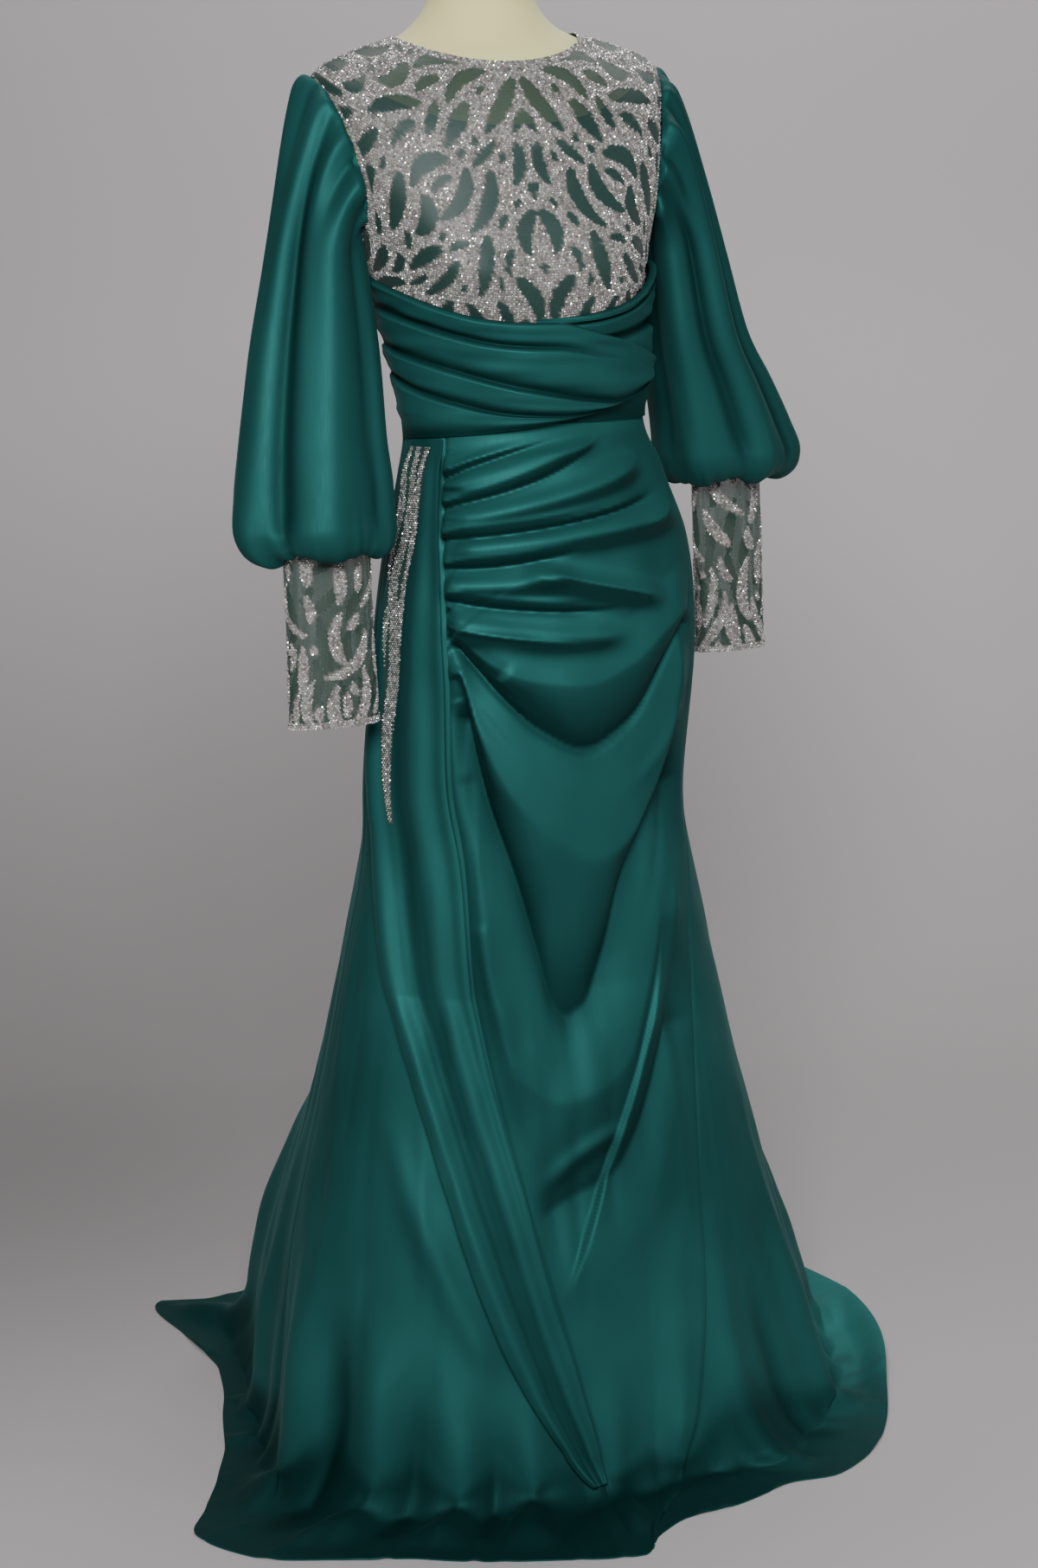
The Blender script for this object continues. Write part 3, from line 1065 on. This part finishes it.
# turn round the sleeve, width in degrees, height at the cap, half way down and at the foot
capFolds = [(38, 8, 4.5), (62, 7, 6), (80, 6, -4), (95, 7, 7), (112, 6, -4), (128, 7, 6), (146, 7, 3), (318, 8, 4),
            (340, 7, -3), (358, 8, 4), (18, 7, -3), (232, 8, 4), (286, 8, 4)]  # turn, width, height under the cap seam
# turn, width, height out near the cap, half way down and at the foot, and drift in degrees a row
backFolds = [(205, 17, 1, 4, 5, 0), (232, 10, -2, -4, -2, 0), (258, 14, 4, 5, 6, 1), (286, 10, -3, -4, -1, -1),
             (316, 15, 6, 5, 5, 1), (342, 10, -4, -4, -1, 0)]
sleeveFolds = dict(
    left=backFolds + [(8, 14, 4, 5, 6, 2), (28, 12, 3, 5, 5, -1), (52, 11, -5, -9, -3, 1.5), (95, 19, 8, 9, 7, -1),
                      (128, 9, -5, -4, 3, 1), (150, 13, 5, 4, 6, -1)],
    right=backFolds + [(128, 17, 7, 8, 7, 1), (98, 10, -5, -8, -3, -2), (72, 15, 6, 7, 6, 1), (45, 10, -4, -6, -1, 0),
                       (20, 14, 5, 5, 6, -1), (158, 10, -3, -4, 2, 0)])
smallGathers = dict(cap=30, capHeight=2.3, foot=38, footHeight=2.4, long=12, longHeight=1.5)


def sleeveRelief(turn, v, folds, seed):
    cap = ease(0.2, 1.6, v) * ease(6, 2.5, v)
    middle = ease(2.5, 6, v) * ease(11.5, 9, v)
    foot = ease(9, 11.5, v) * ease(sleeveRows, 12.6, v)
    total = 0
    for at, width, top, half, low, drift in folds:
        total = total + bell(wrapAngle(turn - at - drift * (v - 7)), 0,
                             width) * (top * cap + half * middle + low * foot)
    for at, width, top in capFolds:
        total = total + top * ease(0.1, 0.9, v) * ease(5.4, 1.4, v) * bell(wrapAngle(turn - at), 0, width)
    rng = np.random.default_rng(seed)
    g = smallGathers
    for n in range(g["cap"]):
        at, reach = 360 * (n + rng.uniform(0, 0.8)) / g["cap"], rng.uniform(1.6, 4.4)
        top = 0.5 + 0.5 * math.cos(math.radians(at))  # gathered most over the shoulder
        total = total + (g["capHeight"] * (0.25 + 0.75 * top) * rng.uniform(0.5, 1.1) * ease(0.02, 0.3,
                                                                      v) * ease(reach, 0.5, v)
                         * bell(wrapAngle(turn - at), 0, rng.uniform(3.0, 5.0)))
    for n in range(g["foot"]):
        at, reach = 360 * (n + rng.uniform(0, 0.8)) / g["foot"], rng.uniform(8.4, 10.6)
        total = total + (g["footHeight"] * rng.uniform(0.5, 1.1) * ease(reach, 12.2, v) * ease(14, 13.4, v)
                         * bell(wrapAngle(turn - at + rng.uniform(-1, 1) * (v - 12)), 0, rng.uniform(2.6, 4.4)))
    for n in range(g["long"]):
        at, top = rng.uniform(0, 360), rng.uniform(2, 6.5)
        total = total + (g["longHeight"] * rng.choice([-1.0, 1.0]) * rng.uniform(0.5, 1) * ease(top, top + 1.5, v)
                         * ease(top + 5.5, top + 3, v) * bell(wrapAngle(turn - at - rng.uniform(-5, 5) * (v - top)),
                                                              0, rng.uniform(4, 8)))
    return total


def clearOfBodice(points, gap):
    out = points.copy()
    pick = (points[..., 2] >= 1130) & (points[..., 2] <= 1500)
    p, g = points[pick], gap[pick]
    angle = np.degrees(np.arctan2(p[:, 0] - 2, -14 - p[:, 1]))
    near = bodyAtHeight(angle, p[:, 2])
    reach = np.hypot(near[:, 0] - 2, near[:, 1] + 14) + g
    away = np.hypot(p[:, 0] - 2, p[:, 1] + 14)
    share = np.maximum(1, reach / away)
    p = points3(mix(2, p[:, 0], share), mix(-14, p[:, 1], share), p[:, 2])
    out[pick] = p
    return out


def sleeveSurface(spec):
    rows = [(k, *oval) for k, oval in enumerate(spec["ovals"])]
    zAt, xAt, yAt, acrossAt, deepAt = (curve(rows, k) for k in range(1, 6))
    side = spec["side"]
    mid, reach = (form["armTop"] + form["armBottom"]) / 2, (form["armBottom"] - form["armTop"]) / 2

    def surface(u, v):
        turn = np.radians(u if side < 0 else -u)
        s, c = np.sin(turn), np.cos(turn)
        station = np.maximum(0, v - capSteps)
        end = points3(xAt(station) + side * acrossAt(station) * c, yAt(station) - deepAt(station) * s, zAt(station))
        width = np.where(s > 0, form["armFront"], form["armBack"])
        start = raised(body, side * (90 - (width + 0.3) * s), mid - (reach - 0.02) * c, 2.9 + 0 * s)
        high = (1 + c) / 2
        lead = start + points3(side * mix(5, 17, high), -6 * s, mix(-6, 16, high))
        after = points3(xAt(0.3) + side * acrossAt(0.3) * c, yAt(0.3) - deepAt(0.3) * s, zAt(0.3) + 0 * c)
        first = points3(xAt(0) + side * acrossAt(0) * c, yAt(0) - deepAt(0) * s, zAt(0) + 0 * c)
        land = end + unit(first - after) * mix(18, 96, high)[..., None]
        t = np.clip(v / capSteps, 0, 1)[..., None]
        cap = start * (1 - t) ** 3 + lead * 3 * t * (1 - t) ** 2 + land * 3 * t * t * (1 - t) + end * t ** 3
        return np.where((v >= capSteps)[..., None], end, cap)
    return surface


def makeSleeve(name, spec, seed):
    surface = sleeveSurface(spec)
    v = np.concatenate([np.linspace(0.02, 2, 30), np.linspace(2, 10, 66)[1:],
                        np.linspace(10, sleeveRows - 0.02, 46)[1:]])
    u, v = np.meshgrid(np.arange(0, 360, 2.0), v)
    turn = u if spec["side"] < 0 else -u
    relief = sleeveRelief(turn, v, sleeveFolds[name], seed)
    grid = raised(surface, u, v, relief, 1, 0.02)
    nap = 0.8 * mix(1, 0.4, ease(1, -7, relief)) * mix(1, 0.7, ease(12.5, 13.6, v))
    # sewn in close at the armhole, and clear of the bodice below it
    grid = clearOfBodice(grid, mix(1.2, mix(7.8, 18.8, ease(1330, 1270, grid[..., 2])), ease(0.1, 2.2, v)))
    piece = cloth("sleeve_" + name + "_satin", grid, satin, "satin", ["sleeve_" + name], rims="b", rim=1.2, tube=True,
                  dim=nap)


cuffs = dict(pitch=2.85, radius=1.38, hemBand=7,
             strokes=dict(seed=33, gap=2.2, touch=0.16,
                          sizes=[(150, 66, 5.6), (420, 42, 5.2), (900, 26, 4.6), (700, 15, 3.6)]))


def makeCuff(name, spec, seed):
    side, table = spec["side"], spec["cuff"]
    rows = [(row[0], *row) for row in table]
    xAt, yAt, acrossAt, deepAt = (curve(rows, k) for k in range(2, 6))
    top, foot = table[0][0], table[-1][0]

    def surface(share, v, lift=0.0):
        turn = np.radians(360 * share) * (1 if side < 0 else -1)
        z = top - v
        s, c = np.sin(turn), np.cos(turn)
        return points3(xAt(z) + side * (acrossAt(z) + lift) * c, yAt(z) - (deepAt(z) + lift) * s, z)

    # sprays that rise from the hem, thinner towards the sleeve; the sheet's ends meet on the inner side
    around, high = int(2 * math.pi * math.sqrt((table[1][3] ** 2 + table[1][4] ** 2) / 2)), int(top - foot)
    outer = around / 2

    def heading(x, y):
        return math.radians(-90) + 0.3 * math.sin(x / 17 + y / 29) + 0.0022 * (x - outer)

    def root(rng):
        return rng.uniform(0, around), high * (1 - 0.92 * rng.random() ** 1.5) + 6
    look = dict(cuffs["strokes"], seed=cuffs["strokes"]["seed"] + seed)
    leaves = packStrokes(around, high, look, heading, root, lambda y: 11 * max(0, 1 - y / high) ** 1.7)

    def covered(share, v):
        x = np.clip(((share + 0.5) % 1) * around, 0, around - 1).astype(int)
        return leaves[np.clip(v, 0, high - 1).astype(int), x] | (v > top - foot - cuffs["hemBand"])
    share, v = np.meshgrid(np.linspace(0, 1, 120, endpoint=False), np.linspace(0, top - foot, 84))
    grid = surface(share, v)
    marks = covered(share, v).astype(float)
    net = cloth("cuff_" + name + "_net", grid, cuffNet, "beaded_net", ["cuff_" + name], rims="b", rim=0.8, tube=True,
                marks=marks)
    spot, at = spotsOn(surface, top - foot, cuffs["pitch"])[:2]
    inside = covered(spot, at)
    spot, at = spot[inside], at[inside]
    rng = np.random.default_rng(60 + seed)
    at = np.clip(at + rng.normal(scale=0.25, size=at.shape), 0.5, top - foot - 0.6)
    gems = stones("cuff_" + name + "_stones", surface(spot, at, 0.15), normalsOn(surface, spot, at), cuffs["radius"],
                  silver, 30 + seed)


for number, (name, spec) in enumerate(sleeves.items()):
    makeSleeve(name, spec, 51 + number)
    makeCuff(name, spec, number)
print("gown: sleeves and cuffs made")


# floor and light

room = dict(wallAt=2.6, curve=1.3, floor=(0.50, 0.47, 0.475), side=5.0,
            # the paper is darkest where it sweeps up, more so on the left:
            # metres back, how wide, how much left and right
            dipAt=0.95, dipWide=1.0, dip=(0.33, 0.11), topFall=0.09)


def makeRoom():
    data = []
    for y in np.linspace(-4, room["wallAt"] - room["curve"], 54):
        data.append((y, 0))
    for turn in np.radians(np.linspace(4, 90, 22)):
        data.append((room["wallAt"] - room["curve"] * (1 - math.sin(turn)), room["curve"] * (1 - math.cos(turn))))
    data += [(room["wallAt"], z) for z in (1.4, 1.55, 1.7, 1.9, 2.2, 4.5)]
    turnBy = math.radians(-18)
    across = room["side"] * np.sinh(np.linspace(-2.5, 2.5, 41)) / math.sinh(2.5)
    grid = np.array([[(x, y, z) for x in across] for y, z in data]) * 1000
    far = grid[..., 1] / 1000
    way = np.where(far < room["wallAt"] - room["curve"], far, room["wallAt"] - room["curve"] + grid[..., 2] / 1000)
    dip = mix(*room["dip"], ease(-0.8, 0.8, grid[..., 0] / 1000))
    shade = (1.02 - dip * bell(way, room["dipAt"], room["dipWide"]) - room["topFall"] * ease(2.3, 3.2, way)) ** 2.2
    c, s = math.cos(turnBy), math.sin(turnBy)
    grid = np.stack([grid[..., 0] * c - grid[..., 1] * s, grid[..., 0] * s + grid[..., 1] * c, grid[..., 2]], -1)
    material, tree, shader = newMaterial("studio paper")
    paper = ramp(tree, noise(tree, "Object", 0.8, 2), [(0.3, tuple(c * 0.96 for c in room["floor"])),
                                                       (0.7, room["floor"])])
    dimmed = addNode(tree, "ShaderNodeMix", {"data_type": "RGBA"})
    tree.links.new(addNode(tree, "ShaderNodeAttribute", {"attribute_name": "shade"}).outputs["Fac"],
                   dimmed.inputs["Factor"])
    dimmed.inputs[6].default_value = (0, 0, 0, 1)
    dimmed.clamp_factor = False
    tree.links.new(paper, dimmed.inputs[7])
    tree.links.new(dimmed.outputs[2], shader.inputs["Base Color"])
    setSockets(shader, Roughness=0.85)
    rows, cols = grid.shape[:2]
    index = np.arange(rows * cols).reshape(rows, cols)
    quads = np.stack([index[:-1, :-1], index[:-1, 1:], index[1:, 1:], index[1:, :-1]], -1).reshape(-1, 4)
    sweep = makeObject("studio_sweep", grid.reshape(-1, 3), quads.tolist(), material)
    sweep.data.attributes.new("shade", "FLOAT", "POINT").data.foreach_set("value", shade.ravel())


def areaLight(name, place, target, size, power, colour=(1, 1, 1)):
    data = bpy.data.lights.new(name, "AREA")
    data.shape, data.size, data.size_y = "RECTANGLE", *size
    data.energy, data.color = power, colour
    lamp = bpy.data.objects.new(name, data)
    bpy.context.collection.objects.link(lamp)
    back = unit(np.array(place, float) - np.array(target, float))
    right = unit(np.cross([0, 0, 1], back))
    up = np.cross(back, right)
    lamp.matrix_world = Matrix([[right[i], up[i], back[i], place[i]] for i in range(3)] + [[0, 0, 0, 1]])


makeRoom()
areaLight("key", (-1.1, -3.1, 2.5), (0, 0, 0.9), (1.2, 1.1), 158)
areaLight("fill", (2.6, -2.0, 1.5), (0, 0, 0.8), (0.9, 2.0), 11)
areaLight("wall", (0.9, 0.9, 3.3), (0.7, 2.4, 1.0), (3.0, 1.0), 60)
world = bpy.data.worlds.new("studio")
world.use_nodes = True
world.node_tree.nodes["Background"].inputs["Color"].default_value = (0.95, 0.96, 1, 1)
world.node_tree.nodes["Background"].inputs["Strength"].default_value = 0.07
bpy.context.scene.world = world
print("gown: floor and light set")
